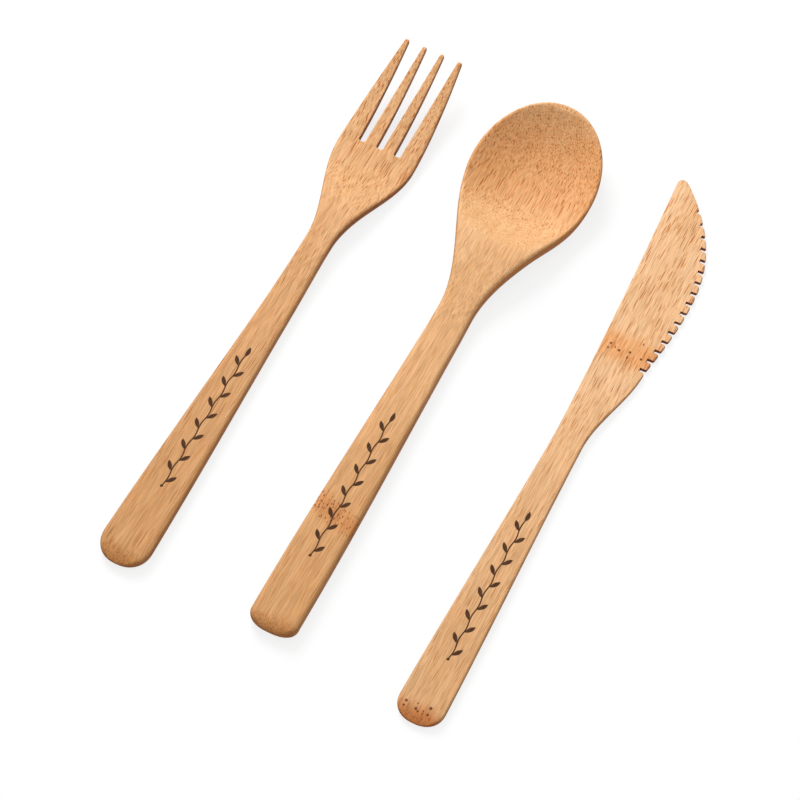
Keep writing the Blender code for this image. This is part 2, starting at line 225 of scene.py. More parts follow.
class SpoonSizes(bpy.types.PropertyGroup):
    """The spoon's shape. Lengths run from the handle's end, and widths are whole widths."""

    length: size("Length", "Handle's end to tip", 0.1959)
    end_round: size("End rounding", "Length of the handle's round end", 0.0046)
    handle_width: size("Handle width", "Widest part of the handle", 0.0154)
    taper_from: size("Taper", "Where the handle starts to narrow", 0.0150)
    neck_width: size("Neck width", "Width of the neck before its shoulders", 0.0110)
    neck_at: size("Neck", "Where the handle stops tapering", 0.1350)
    flare_from: size("Flare", "Where the shoulders start", 0.1180)
    bowl_at: size("Bowl", "Where the bowl is widest", 0.1700)
    bowl_width: size("Bowl width", "Widest part of the bowl", 0.0412)
    handle_thickness: size("Handle thickness", "Thickness of the handle", 0.0047)
    arch_from: size("Arch start", "Where the neck leaves the table", 0.1080)
    arch_at: size("Arch top", "Where the neck is highest", 0.1440)
    arch_height: size("Arch height", "Height of the neck's underside", 0.0035)
    dish_from: size("Dish start", "Where the dish is first hollowed", 0.1405)
    dish_by: size("Dish floor", "Where the dish's floor is reached", 0.1570)
    dish_bow: size("Dish bow", "How much later the dish starts at the sides", 0.0060)
    belly_at: size("Belly", "Where the bowl meets the table", 0.1640)
    bowl_thickness: size("Bowl thickness", "Thickness at the bowl's bottom", 0.0025)
    rim_thickness: size("Rim thickness", "Thickness of the rim", 0.0021)
    rim_rise_from: size("Rim rise", "Where the rim starts to rise", 0.1480)
    tip_height: size("Tip height", "Height of the rim at the tip", 0.0126)
    handle_edge: size("Handle edge", "How far in the handle is sanded round", 0.0018)
    rim_edge: size("Rim edge", "How far in the rim is sanded round", 0.0010)
    rim_land: size("Rim land", "Width of the level top of the rim", 0.0009)
    turn: angle("Turn", "Turn on the table", 0.0)


class KnifeSizes(bpy.types.PropertyGroup):
    """The knife's shape. Its spine is left of the handle's middle line and its teeth are right of it."""

    length: size("Length", "Handle's end to nose", 0.1995)
    end_round: size("End rounding", "Length of the handle's round end", 0.0065)
    handle_width: size("Handle width", "Widest part of the handle", 0.0146)
    neck_width: size("Neck width", "Narrowest part", 0.0094)
    neck_at: size("Neck", "Where the handle stops tapering", 0.1010)
    heel_at: size("Heel", "Where the blade's heel stands", 0.1320)
    heel_reach: size("Heel reach", "Middle line to the heel", 0.0103)
    belly_at: size("Belly", "Where the blade is widest", 0.1580)
    belly_reach: size("Belly reach", "Middle line to the belly", 0.0130)
    spine_reach: size("Spine reach", "Middle line to the spine at the nose", 0.0094)
    nose_round: size("Nose rounding", "Rounding of the nose on its left and right together", 0.0027)
    nose_right: size("Nose right", "Part of the nose's rounding that lies on its right", 0.0008)
    handle_thickness: size("Handle thickness", "Thickness of the handle", 0.0024)
    spine_thickness: size("Spine thickness", "Thickness of the blade at its spine", 0.0021)
    tooth_thickness: size("Tooth thickness", "Thickness of the blade at its teeth", 0.0013)
    handle_edge: size("Handle edge", "How far in the handle is sanded round", 0.0008)
    blade_edge: size("Blade edge", "How far in the blade is sanded round", 0.0006)
    notches: IntProperty(name="Notches", description="Number of notches", default=16, min=1)
    first_notch_at: size("First notch", "Middle of the notch nearest the handle", 0.1325)
    notch_pitch: size("Notch pitch", "Notch to notch", 0.0039)
    notch_width: size("Notch width", "Width of a notch", 0.0013)
    notch_depth: size("Notch depth", "Depth of a notch", 0.0020)
    tooth_round: size("Tooth rounding", "Rounding of a tooth's corners", 0.0006)
    turn: angle("Turn", "Turn on the table", 0.2)


class WoodLooks(bpy.types.PropertyGroup):
    """The bamboo's colours, as linear values, and the size of its grain."""

    fork: colour("Fork", "Ground of the fork", (0.715, 0.392, 0.178))
    spoon: colour("Spoon", "Ground of the spoon", (0.762, 0.430, 0.203))
    knife: colour("Knife", "Ground of the knife", (0.840, 0.507, 0.270))
    bundle: colour("Bundle", "Fibre bundles, as a share of what lies under them", (0.62, 0.36, 0.17))
    thread: colour("Thread", "Fine threads, as a share of what lies under them", (0.80, 0.60, 0.40))
    pale: colour("Pale fibre", "Thin pale fibres", (0.93, 0.70, 0.45))
    handle: colour("Handle", "The handle, as a share of the head's colour", (0.86, 0.80, 0.70))
    # Painted shade: the sides are darkened as walls that face away from the light
    side: colour("Cut side", "The cut sides, as a share of the faces' colour", (0.74, 0.56, 0.39))
    burn: colour("Burn", "Burnt ornament", (0.060, 0.020, 0.005))
    pore: colour("Pore", "Dark dots of the growth rings", (0.090, 0.022, 0.005))
    bundle_across: size("Bundle across", "Spacing of the fibre bundles", 0.00052)
    thread_across: size("Thread across", "Spacing of the fine threads", 0.00042)
    pale_across: size("Pale across", "Spacing of the pale fibres", 0.0013)
    pale_along: size("Pale along", "Length of the pale fibres", 0.060)
    fibre_across: size("Fibre across", "Width of the fine fibres", 0.00028)
    fibre_along: size("Fibre along", "Length of the fine fibres", 0.010)
    # Strength of the painted shade on the sides
    side_shade_strength: share("Side stain", "How much of the cut side's stain is laid on", 0.90)
    roughness: share("Roughness", "Roughness of the sanded face", 0.58)
    gloss: share("Gloss", "Strength of the reflection, as a specular level", 0.22)


class StageLooks(bpy.types.PropertyGroup):
    """The table, the lights and the camera."""

    aim: FloatVectorProperty(
        name="Aim", description="Point on the table at the picture's middle",
        default=(-0.00211, -0.01017, 0.0), unit="LENGTH", size=3,
    )
    distance: size("Distance", "Camera to the aim", 0.8983)
    turn: angle("Camera turn", "Turn of the camera round the set", 27.6)
    tilt: angle("Camera tilt", "Height of the camera above the table", 62.0)
    lens: FloatProperty(name="Lens", description="Focal length in millimetres", default=135.0, unit="CAMERA")
    floor_share: share("White share", "How much of the table is plain white to the camera", 0.80)
    floor_bounce: colour("Bounce", "Table as the wood sees it", (0.50, 0.46, 0.41))
    sky: share("Sky", "Strength of the light from all round", 0.42)
    key: share("Key", "Strength of the large lamp behind the set", 15.5)
    top: share("Top", "Strength of the soft lamp above the set", 4.0)
    key_side: angle("Key side", "Turn of the key lamp to the left of straight away", 16.0)
    key_height: angle("Key height", "Height of the key lamp above the table", 38.0)
    key_distance: size("Key distance", "Key lamp to the aim", 1.3)
    key_reach: size("Key reach", "Side of the key lamp", 0.6)
    top_height: angle("Top height", "Height of the soft lamp above the table", 86.0)
    top_distance: size("Top distance", "Soft lamp to the aim", 1.5)
    top_reach: size("Top reach", "Side of the soft lamp", 1.2)
    table_reach: size("Table reach", "Middle of the table to its edge", 4.0)


def eased(y, start, stop, ease=1.0):
    """Goes from 0 at start to 1 at stop. An ease of 1 is level at both ends, and 0 is a straight line."""
    t = np.clip((y - start) / (stop - start), 0.0, 1.0)
    return t + ease * (t * t * (3.0 - 2.0 * t) - t)


def rounded(distance, reach, power=SOFT_OVAL):
    """Grows from 0 to 1 over the reach, as an ellipse's edge does, or a squarer oval's at higher powers."""
    t = 1.0 - np.clip(distance / reach, 0.0, 1.0)
    return (1.0 - t ** power) ** (1.0 / power)


def quarter(distance, reach):
    """What a quarter circle takes off at a distance from the edge: its reach there, and nothing past it."""
    t = 1.0 - np.clip(distance / np.maximum(reach, TINY), 0.0, 1.0)
    return reach * (1.0 - np.sqrt(1.0 - t * t))


def even(start, stop, step=STEP):
    """Places from start to stop, both included, no further apart than the step."""
    return np.linspace(start, stop, max(2, math.ceil((stop - start) / step) + 1))


def crowded(start, stop, count):
    """Places from start to stop that crowd towards start, as the cosine of an even turn does."""
    turn = np.linspace(0.0, math.pi / 2, count + 1)
    return start + (stop - start) * (1.0 - np.cos(turn))


def columns(edge_steps, flat_steps):
    """How the points of a lane lie across it, as two arrays, share and inset.

    A point's place is left + share * width + inset * soft. Points crowd towards both sides over the soft
    width, as the cosine of an even turn, and lie evenly between.
    """
    near = 1.0 - np.cos(np.linspace(0.0, math.pi / 2, edge_steps + 1)) ** (2.0 / OVAL)
    flat = np.linspace(0.0, 1.0, flat_steps + 1)[1:-1]
    shares = np.concatenate([np.zeros_like(near), flat, np.ones_like(near)])
    insets = np.concatenate([near, 1.0 - 2.0 * flat, -near[::-1]])
    return shares, insets


def across(left, right, soft, lane):
    """The places across a lane at every row, as a grid of rows by columns."""
    shares, insets = lane
    width = right - left
    soft = np.minimum(soft, EDGE_MOST * width)
    return left[:, None] + width[:, None] * shares + soft[:, None] * insets


def sheet(x, y, z):
    """One grid of points, rows by columns by three."""
    return np.stack([x, np.broadcast_to(y[:, None], x.shape), z], axis=-1)


def quads(numbers, flip=False):
    """The faces of a grid of points, given by their numbers."""
    corners = [numbers[:-1, :-1], numbers[:-1, 1:], numbers[1:, 1:], numbers[1:, :-1]]
    if flip:
        corners.reverse()
    return np.stack([c.ravel() for c in corners], axis=1)


def wall(upper, lower, flip):
    """The faces between two columns of points, given by their numbers, one above the other."""
    corners = [upper[:-1], upper[1:], lower[1:], lower[:-1]]
    if flip:
        corners.reverse()
    return np.stack(corners, axis=1)


def joined(lanes):
    """The points and faces of all lanes: two grids for each, and a wall down each side from its first row."""
    points, faces, count = [], [], 0
    for upper, lower, left_from, right_from in lanes:
        rows, cols = upper.shape[:2]
        top = count + np.arange(rows * cols).reshape(rows, cols)
        low = top + rows * cols
        faces.append(quads(top))
        faces.append(quads(low, True))
        faces.append(wall(top[left_from:, 0], low[left_from:, 0], False))
        faces.append(wall(top[right_from:, -1], low[right_from:, -1], True))
        points += [upper.reshape(-1, 3), lower.reshape(-1, 3)]
        count += 2 * rows * cols
    return np.concatenate(points), np.concatenate(faces)


def laid(points, turn, node):
    """The points turned and moved so that their box has the middle of the solid's, and the move itself."""
    spin = np.array([[math.cos(turn), -math.sin(turn)], [math.sin(turn), math.cos(turn)]])
    points[:, :2] = points[:, :2] @ spin.T
    low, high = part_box(node)
    place = 0.5 * (np.array(low) + np.array(high))[:2]
    place -= 0.5 * (points[:, :2].min(axis=0) + points[:, :2].max(axis=0))
    points[:, :2] += place
    return points, place


def closed_mesh(name, points, faces):
    """A mesh with points of one place welded and faces turned outwards, smooth but for its sharp corners."""
    data = bpy.data.meshes.new(name)
    data.from_pydata(points, [], faces)
    work = bmesh.new()
    work.from_mesh(data)
    bmesh.ops.remove_doubles(work, verts=work.verts, dist=WELD)
    bmesh.ops.dissolve_degenerate(work, edges=work.edges, dist=WELD)
    bmesh.ops.recalc_face_normals(work, faces=work.faces)
    work.to_mesh(data)
    work.free()
    data.shade_smooth()
    data.set_sharp_from_angle(angle=SHARP)
    return data


def closed_piece(name, lanes, node, turn, material):
    """A closed body out of lanes, each an upper and a lower grid and the first rows of its two side walls.

    Welding makes lanes that share a side grow together, walls of no height vanish and the round ends close.
    The body lies over the solid that it stands for, and rides with it.
    """
    points, faces = joined(lanes)
    points, place = laid(points, turn, node)
    data = closed_mesh(name, points, faces)
    data.materials.append(material(place, turn))
    piece = bpy.data.objects.new(name, data)
    bpy.context.scene.collection.objects.link(piece)
    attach(piece, BODY)
    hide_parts(node)


def fork_rows(s):
    """Places along the fork. They crowd towards the handle's end, the slots' roots and the tips."""
    end_steps, root_steps, tip_steps = 24, 10, 12
    root = 0.5 * s.slot_width
    return np.unique(np.concatenate([
        crowded(0.0, s.end_round, end_steps),
        even(s.end_round, s.slot_from - ROOT_ROWS),
        s.slot_from - crowded(0.0, ROOT_ROWS, root_steps),
        s.slot_from + crowded(0.0, root, root_steps),
        even(s.slot_from + root, s.length - s.tine_tip_width),
        s.length - crowded(0.0, s.tine_tip_width, tip_steps),
    ]))


def fork_width(s, y):
    """The width at every row: the handle's eased taper, an eased flare and a curved narrowing to the tips."""
    taper = eased(y, s.end_round, s.neck_at, HANDLE_EASE)
    flare = eased(y, s.flare_from, s.head_at)
    narrowing = eased(y, s.head_at, s.length, 0.0) ** TINE_NARROWING
    width = s.handle_width + (s.neck_width - s.handle_width) * taper
    width += (s.head_width - s.neck_width) * flare + (s.tip_spread - s.head_width) * narrowing
    return width


def fork_heights(s, y):
    """The underside's height, the thickness and the width of the sanded edge at every row.

    The neck arches by two eased steps, and the tines climb by a power of the distance past the belly. The
    thickness eases from the handle's to the palm's and falls evenly to the tips.
    """
    arch = eased(y, s.arch_from, s.arch_at) - eased(y, s.arch_at, s.belly_at)
    climb = np.clip((y - s.belly_at) / (s.length - s.belly_at), 0.0, 1.0)
    under = s.arch_height * arch + s.tip_rise * climb ** TINE_CLIMB
    thinning = eased(y, s.arch_at, s.belly_at)
    thickness = s.handle_thickness + (s.head_thickness - s.handle_thickness) * thinning
    thickness += (s.tip_thickness - s.head_thickness) * climb
    edge = s.handle_edge + (s.head_edge - s.handle_edge) * thinning
    return under, thickness, edge


def fork_slots(s, y, half):
    """The middle lines of the three slots, as a grid of rows by slots, and half a slot's width at every row.

    A slot widens to its mouth by a power of the distance, and a square oval closes its root. Below the slots
    the middle lines run on in step with the outline, and a slot has no width.
    """
    opening = np.clip((y - s.slot_from) / (s.length - 0.5 * s.tine_tip_width - s.slot_from), 0.0, 1.0)
    mouth = s.slot_pitch - s.tine_tip_width
    slot = 0.5 * (s.slot_width + (mouth - s.slot_width) * opening ** TINE_NARROWING)
    closed = rounded(y - s.slot_from, 0.5 * s.slot_width, SQUARE_OVAL)
    slot_half = np.where(y > s.slot_from, slot * closed, 0.0)
    spread = np.minimum(half / np.interp(s.slot_from, y, half), 1.0)
    spread = np.where(y >= s.slot_from, 1.0, spread)
    centres = np.array([-1.0, 0.0, 1.0]) * s.slot_pitch
    return centres[None, :] * spread[:, None], slot_half


def slot_distance(s, x, y, middle, slot_half):
    """The distance from every point to the nearest slot: to its side, or to the square oval of its root."""
    root = 0.5 * s.slot_width
    before = np.clip((s.slot_from + root - y) / root, 0.0, None)[:, None]
    nearest = np.full_like(x, 1.0)
    for line in middle.T:
        aside = np.abs(x - line[:, None])
        oval = ((aside / root) ** SQUARE_OVAL + before ** SQUARE_OVAL) ** (1.0 / SQUARE_OVAL)
        distance = np.where(before > 0.0, (oval - 1.0) * root, aside - slot_half[:, None])
        nearest = np.minimum(nearest, distance)
    return nearest


def fork_lanes(s):
    """The fork as four lanes, one for each tine, that grow together below the slots.

    The top and the underside stand off the middle height by half the thickness. They come together at the
    outline by an oval and at both ends by an ellipse, and a quarter circle rounds a slot's rims.
    """
    y = fork_rows(s)
    half = 0.5 * fork_width(s, y) * rounded(y, s.end_round)
    under, thickness, edge = fork_heights(s, y)
    middle, slot_half = fork_slots(s, y, half)
    tip = 0.5 * s.tine_tip_width
    ends = rounded(y, s.end_round, ELLIPSE) * rounded(s.length - y, TIP_LENGTH * tip, ELLIPSE)
    closing = rounded(s.length - y, tip, ELLIPSE)
    sides = [-half]
    for line in middle.T:
        sides += [line - slot_half, line + slot_half]
    sides.append(half)
    first = int(np.searchsorted(y, s.slot_from - TINY))
    lanes = []
    for tine in range(4):
        between = tine in (1, 2)
        left, right = sides[2 * tine], sides[2 * tine + 1]
        centre = 0.5 * (left + right)
        left = centre + (left - centre) * closing
        right = centre + (right - centre) * closing
        soft = np.where(y < s.slot_from, edge, s.slot_edge if between else s.head_edge)
        x = across(left, right, soft, columns(edge_steps=6, flat_steps=12))
        outer = np.minimum(x + half[:, None], half[:, None] - x)
        full = rounded(outer, edge[:, None], OVAL)
        if between:
            full = np.where(y[:, None] > s.slot_from, 1.0, full)
        half_thick = 0.5 * thickness[:, None] * full * ends[:, None]
        distance = slot_distance(s, x, y, middle, slot_half)
        drop = quarter(distance, np.minimum(s.slot_edge, RIM_MOST * half_thick))
        height = (under + 0.5 * thickness)[:, None]
        upper = sheet(x, y, height + half_thick - drop)
        lower = sheet(x, y, height - half_thick + drop)
        lanes.append((upper, lower, 0 if tine == 0 else first, 0 if tine == 3 else first))
    return lanes


def spoon_rows(s):
    """Places along the spoon. They crowd towards the handle's end and the bowl's tip."""
    end_steps, tip_steps = 20, 20
    return np.unique(np.concatenate([
        crowded(0.0, s.end_round, end_steps),
        even(s.end_round, s.length - TIP_ROWS),
        s.length - crowded(0.0, TIP_ROWS, tip_steps),
    ]))


def spoon_width(s, y):
    """The width at every row, before its ends are rounded: the handle's eased taper and eased shoulders."""
    taper = eased(y, s.taper_from, s.neck_at)
    flare = eased(y, s.flare_from, s.bowl_at)
    width = s.handle_width + (s.neck_width - s.handle_width) * taper
    width += (s.bowl_width - s.neck_width) * flare
    return width


def spoon_heights(s, y):
    """Four heights at every row: the rim, the dish's middle line, and the hull's middle line and its side.

    The neck arches by two eased steps, and the rim rises to the tip by a power of the distance. The hull's
    middle line is an ellipse. The dish's middle line sinks by an eased step to its thickness over the hull,
    climbs to the tip by a power of the distance, and stays under the rim.
    """
    arch = eased(y, s.arch_from, s.arch_at) - eased(y, s.arch_at, s.belly_at)
    lift = s.arch_height * arch
    climb = np.clip((y - s.rim_rise_from) / (s.length - s.rim_rise_from), 0.0, 1.0)
    rim = lift + s.handle_thickness
    rim += (s.tip_height - s.handle_thickness) * climb ** RIM_CLIMB
    hull = 1.0 - rounded(s.length - y, s.length - s.belly_at, ELLIPSE)
    under_middle = lift + (s.tip_height - s.rim_thickness) * hull
    under_side = lift + (rim - s.rim_thickness - lift) * eased(y, s.rim_rise_from, s.bowl_at)
    inner = np.clip((y - s.belly_at) / (s.length - s.rim_land - s.belly_at), 0.0, 1.0) ** DISH_CLIMB
    sinking = eased(y, s.dish_from, s.dish_by, DISH_EASE)
    over_hull = s.handle_thickness + (s.bowl_thickness - s.handle_thickness) * sinking
    dish = lift + (s.tip_height - s.rim_thickness) * inner + over_hull
    return rim, np.minimum(dish, rim), under_middle, under_side


def dish_depth(s, x, y, width, side, depth):
    """How far the dish lies below the rim at every point, from its depth on the middle line.

    It grows less by a power of the distance aside, up to the rim's level land, whose inner line is an ellipse
    round the tip. The dish starts later aside, by the square of the distance.
    """
    from_land = np.maximum(s.length - y - s.rim_land, 0.0)
    inside = 0.5 * width - s.rim_land * eased(y, s.dish_from, s.bowl_at)
    inside *= rounded(from_land, s.length - s.rim_land - s.bowl_at, ELLIPSE)
    dished = np.minimum(np.abs(x) / np.maximum(inside, TINY)[:, None], 1.0)
    bowed = eased(y[:, None] - s.dish_bow * side ** 2, s.dish_from, s.dish_from + s.dish_bow, BOW_EASE)
    return depth[:, None] * (1.0 - dished ** DISH_SIDE) * bowed


def outline_distance(s, x, y, half):
    """The distance from every point to the spoon's outline.

    It is measured aside up to the bowl's widest place. Beyond, the outline is an ellipse, and the distance
    is what the point's share of the ellipse lacks to one, over the slope of that share.
    """
    wide, deep = 0.5 * s.bowl_width, s.length - s.bowl_at
    beyond = np.maximum(y - s.bowl_at, 0.0)[:, None]
    ring = np.hypot(x / wide, beyond / deep)
    steep = np.maximum(np.hypot(x / wide ** 2, beyond / deep ** 2), TINY)
    return np.where(beyond > 0.0, np.maximum(1.0 - ring, 0.0) * ring / steep, half[:, None] - np.abs(x))


def spoon_lanes(s):
    """The spoon as one lane.

    The outline is half the width to both sides, closed by an oval at the handle's end and by half an ellipse
    round the bowl's. The hull climbs from its middle line to its side by a power of the distance aside. Top
    and underside come together at the outline by an oval, and at the handle's end by an ellipse.
    """
    y = spoon_rows(s)
    width = spoon_width(s, y)
    half = 0.5 * width * rounded(y, s.end_round)
    half *= rounded(s.length - y, s.length - s.bowl_at, ELLIPSE)
    rim, dish, under_middle, under_side = spoon_heights(s, y)
    edge = s.handle_edge + (s.rim_edge - s.handle_edge) * eased(y, s.dish_from, s.bowl_at)
    x = across(-half, half, edge, columns(edge_steps=10, flat_steps=56))
    side = np.abs(x) / np.maximum(half, TINY)[:, None]
    top = rim[:, None] - dish_depth(s, x, y, width, side, rim - dish)
    under = under_middle[:, None] + (under_side - under_middle)[:, None] * side ** HULL_SIDE
    soft = np.maximum(np.minimum(edge, EDGE_MOST * 2.0 * half), TINY)[:, None]
    ends = rounded(y, s.end_round, ELLIPSE)[:, None]
    half_thick = 0.5 * (top - under) * rounded(outline_distance(s, x, y, half), soft, OVAL) * ends
    height = 0.5 * (top + under)
    return [(sheet(x, y, height + half_thick), sheet(x, y, height - half_thick), 0, 0)]


def knife_rows(s, middles):
    """Places along the knife. They crowd towards its ends and stand at every notch's flanks and corners."""
    end_steps, nose_steps, corner_steps = 22, 24, 5
    flanks = np.concatenate([middles - s.notch_width / 2, middles + s.notch_width / 2])
    signs = np.repeat([-1.0, 1.0], s.notches)
    arcs = np.linspace(0.0, 1.0, corner_steps + 1) ** 2
    corners = (flanks[:, None] + signs[:, None] * s.tooth_round * arcs[None, :]).ravel()
    return np.unique(np.round(np.concatenate([
        crowded(0.0, s.end_round, end_steps),
        even(s.end_round, s.belly_at),
        even(s.belly_at, s.length - TIP_ROWS, FINE_STEP),
        s.length - crowded(0.0, TIP_ROWS, nose_steps),
        corners,
        flanks - signs * HAIR,
        middles,
    ]), 7))


def knife_edge(s, y):
    """How far the edge stands right of the middle line: level, then an eased heel, a bow and a sweep."""
    neck = 0.5 * s.neck_width
    heel = neck + (s.heel_reach - neck) * eased(y, s.neck_at, s.heel_at)
    bow = np.sin(0.5 * math.pi * eased(y, s.heel_at, s.belly_at, 0.0)) * (s.belly_reach - s.heel_reach)
    t = np.clip((y - s.belly_at) / (s.length - s.belly_at), 0.0, 1.0)
    sweep = (s.belly_reach + s.spine_reach - s.nose_round) * t ** NOSE_SWEEP
    return heel + bow - sweep


def knife_sides(s, y):
    """Where the spine and the edge stand at every row, before the notches are cut.

    The spine leans out by a power of the distance past the neck, and a part of an ellipse rounds the nose on
    each side.
    """
    from_tip = s.length - y
    taper = eased(y, s.end_round, s.neck_at, HANDLE_EASE)
    handle_half = 0.5 * (s.handle_width + (s.neck_width - s.handle_width) * taper)
    butt = rounded(y, s.end_round)
    lean = (s.spine_reach - 0.5 * s.neck_width) * eased(y, s.neck_at, s.length, 0.0) ** SPINE_LEAN
    nose_left = s.nose_round - s.nose_right
    left = -(handle_half * butt + lean - nose_left * (1.0 - rounded(from_tip, nose_left, ELLIPSE)))
    right = np.where(y < s.neck_at, handle_half * butt, knife_edge(s, y))
    right = right - s.nose_right * (1.0 - rounded(from_tip, TIP_LENGTH * s.nose_right, ELLIPSE))
    return left, np.maximum(right, left)


def knife_teeth(s, y, right, middles):
    """Where the toothed side stands at every row: on a notch's root, a tooth's round corner or the edge.

    A flank is a step over a hair's breadth, and the notches grow shallower towards the nose.
    """
    beyond = np.abs(y[:, None] - middles) - s.notch_width / 2
    nearest = beyond.argmin(axis=1)
    beyond = beyond.min(axis=1)
    tooth = right - quarter(beyond, s.tooth_round)
    shallower = 0.4 * eased(np.arange(s.notches), s.notches - 4.5, s.notches - 1.5)
    root = (knife_edge(s, middles) - s.notch_depth * (1.0 - shallower))[nearest]
    teeth = np.where(beyond < -0.5 * HAIR, root, np.where(beyond < s.tooth_round, tooth, right))
    serrated = (y > s.heel_at - 2 * s.notch_width) & (y < s.length - s.nose_round)
    return np.where(serrated, teeth, right)


def knife_lanes(s):
    """The knife as two lanes: the strip up to a line inside the notches, and the strip of the teeth.

    The underside is flat. The thickness eases from the handle's to the blade's, and falls evenly from the
    spine to the edge. Top and underside come together at both sides by an oval and at both ends by an
    ellipse.
    """
    middles = s.first_notch_at + s.notch_pitch * np.arange(s.notches)
    y = knife_rows(s, middles)
    left, right = knife_sides(s, y)
    teeth = knife_teeth(s, y, right, middles)
    broad = np.maximum(right - left, s.notch_depth + 2.0 * NOTCH_MARGIN)
    inner = left + (right - left) * (1.0 - (s.notch_depth + NOTCH_MARGIN) / broad)
    inner = np.minimum(inner, np.minimum(teeth, right) - LEAST_FRONT * (teeth - left))
    blade = eased(y, s.neck_at, s.heel_at)
    spine = s.handle_thickness + (s.spine_thickness - s.handle_thickness) * blade
    drop = (s.spine_thickness - s.tooth_thickness) * blade
    edge = s.handle_edge + (s.blade_edge - s.handle_edge) * blade
    ends = rounded(y, s.end_round, ELLIPSE) * rounded(s.length - y, s.blade_edge, ELLIPSE)
    soft = np.maximum(np.minimum(edge, EDGE_MOST * (right - left)), TINY)[:, None]
    back = across(left, inner, edge, columns(edge_steps=9, flat_steps=20))
    front_edge = np.minimum(edge, FRONT_EDGE * (teeth - inner) + TINY)
    front = across(inner, teeth, front_edge, columns(edge_steps=8, flat_steps=5))
    lanes = []
    for x, left_from, right_from in ((back, 0, len(y)), (front, len(y), 0)):
        full = rounded(x - left[:, None], soft, OVAL) * rounded(right[:, None] - x, soft, OVAL)
        thickness = spine[:, None] - drop[:, None] * (x - left[:, None]) / (s.spine_reach + s.belly_reach)
        half_thick = 0.5 * thickness * full * ends[:, None]
        upper = sheet(x, y, 0.5 * thickness + half_thick)
        lower = sheet(x, y, 0.5 * thickness - half_thick)
        lanes.append((upper, lower, left_from, right_from))
    return lanes


class Shader:
    """A material's node tree, with short calls for the nodes that the wood is made of."""

    def __init__(self, name):
        self.material = bpy.data.materials.new(name)
        self.material.use_nodes = True
        self.tree = self.material.node_tree
        self.surface = self.tree.nodes["Principled BSDF"]

    def node(self, kind, settings=(), **sockets):
        """One node with its settings and its input sockets, which may be numbers or other nodes' outputs."""
        made = self.tree.nodes.new(kind)
        for key, value in dict(settings).items():
            setattr(made, key, value)
        for key, value in sockets.items():
            socket = int(key[1:]) if key[0] == "_" else key
            self.feed(made.inputs[socket], value)
        return made

    def feed(self, socket, value):
        """Links an output to a socket, or writes a number or a colour into it."""
        if isinstance(value, bpy.types.NodeSocket):
            self.tree.links.new(value, socket)
        else:
            socket.default_value = value

    def calc(self, operation, *values):
        """The result of one sum."""
        sockets = {f"_{i}": value for i, value in enumerate(values)}
        return self.node("ShaderNodeMath", {"operation": operation}, **sockets).outputs[0]

    def ramp(self, value, low, high, to_low=0.0, to_high=1.0):
        """Carries a value smoothly from one range to another."""
        made = self.node(
            "ShaderNodeMapRange", {"interpolation_type": "SMOOTHSTEP"},
            _0=value, _1=low, _2=high, _3=to_low, _4=to_high,
        )
        return made.outputs[0]

    def mix(self, factor, first, second, blend="MIX"):
        """Mixes two colours."""
        made = self.node("ShaderNodeMix", {"data_type": "RGBA", "blend_type": blend}, _0=factor)
        self.feed(made.inputs[6], first)
        self.feed(made.inputs[7], second)
        return made.outputs[2]

    def stretched(self, place, sizes, shift):
        """The place in the strip, counted in cells of the given sizes."""
        made = self.node("ShaderNodeMapping", {"vector_type": "TEXTURE"}, Vector=place)
        made.inputs["Location"].default_value = shift
        made.inputs["Scale"].default_value = sizes
        return made.outputs[0]

    def noise(self, place, sizes, shift, detail=2.0):
        """Soft noise about 0.5 in cells of the given sizes."""
        made = self.node(
            "ShaderNodeTexNoise", Vector=self.stretched(place, sizes, shift), Scale=1.0, Detail=detail,
        )
        return made.outputs["Fac"]

    def cells(self, place, sizes, shift, uneven):
        """Scattered points in cells of the given sizes: the distance to the nearest, and its own number."""
        made = self.node(
            "ShaderNodeTexVoronoi", Vector=self.stretched(place, sizes, shift), Scale=1.0, Randomness=uneven,
        )
        own = self.node("ShaderNodeSeparateColor", Color=made.outputs["Color"])
        return made.outputs["Distance"], own.outputs[0]

    def strokes(self, place, wide, long, seed, core, rim, weakest):
        """Long thin strokes of uneven strength: 1 within the core of a cell, 0 past its rim."""
        far, own = self.cells(place, (wide, long, wide), (seed, 0.1 * seed, 0.0), UNEVEN_STROKES)
        strength = self.ramp(own, 0.1, 0.9, weakest, 1.0)
        return self.calc("MULTIPLY", self.ramp(far, core, rim, 1.0, 0.0), strength)

    def stained(self, base, where, strength, stain):
        """Multiplies a colour by a stain where a mask is."""
        factor = self.calc("MULTIPLY", where, strength)
        return self.mix(factor, base, self.mix(1.0, base, colour4(stain), "MULTIPLY"))

    def shaded(self, base, shade):
        """Multiplies a colour by one number."""
        grey = self.node("ShaderNodeCombineColor", _0=shade, _1=shade, _2=shade)
        return self.mix(1.0, base, grey.outputs[0], "MULTIPLY")


def colour4(value, factor=(1.0, 1.0, 1.0)):
    """A colour times a factor, with full alpha."""
    return (*[v * f for v, f in zip(value, factor)], 1.0)


class Band(NamedTuple):
    """A band across the strip, which draws a growth ring, and in the spoon's dish a painted shade: its place,
    lean, half width and strength, and its short dashes.
    """

    at: float
    lean: float
    reach: float
    strength: float
    dash_across: float
    dash_along: float
    dash_share: float


class Pore(NamedTuple):
    """One dark dot: its place along and aside, and its radius."""

    at: float
    aside: float
    radius: float


class EndGrain(NamedTuple):
    """The handle's speckled end: how far it reaches, its stain, and the spacing of its flecks."""

    reach: float
    stain: tuple
    fleck: float


class ShadeAndScorch(NamedTuple):
    """Where the painted shade on the sides is deeper still, partly as scorch from the cut: from which places
    across and along, and by what stain.
    """

    from_across: float
    from_along: float
    stain: tuple


class Grain(NamedTuple):
    """What sets one piece's wood apart. Its dashes grow from faint to strong between two places."""

    seed: float
    run: float
    rise_from: float
    rise_to: float
    faint: float
    strong: float
    end: EndGrain
    shade_and_scorch: ShadeAndScorch
    sprig_at: float
    sprig_aside: float
    bands: tuple = ()
    pores: tuple = ()


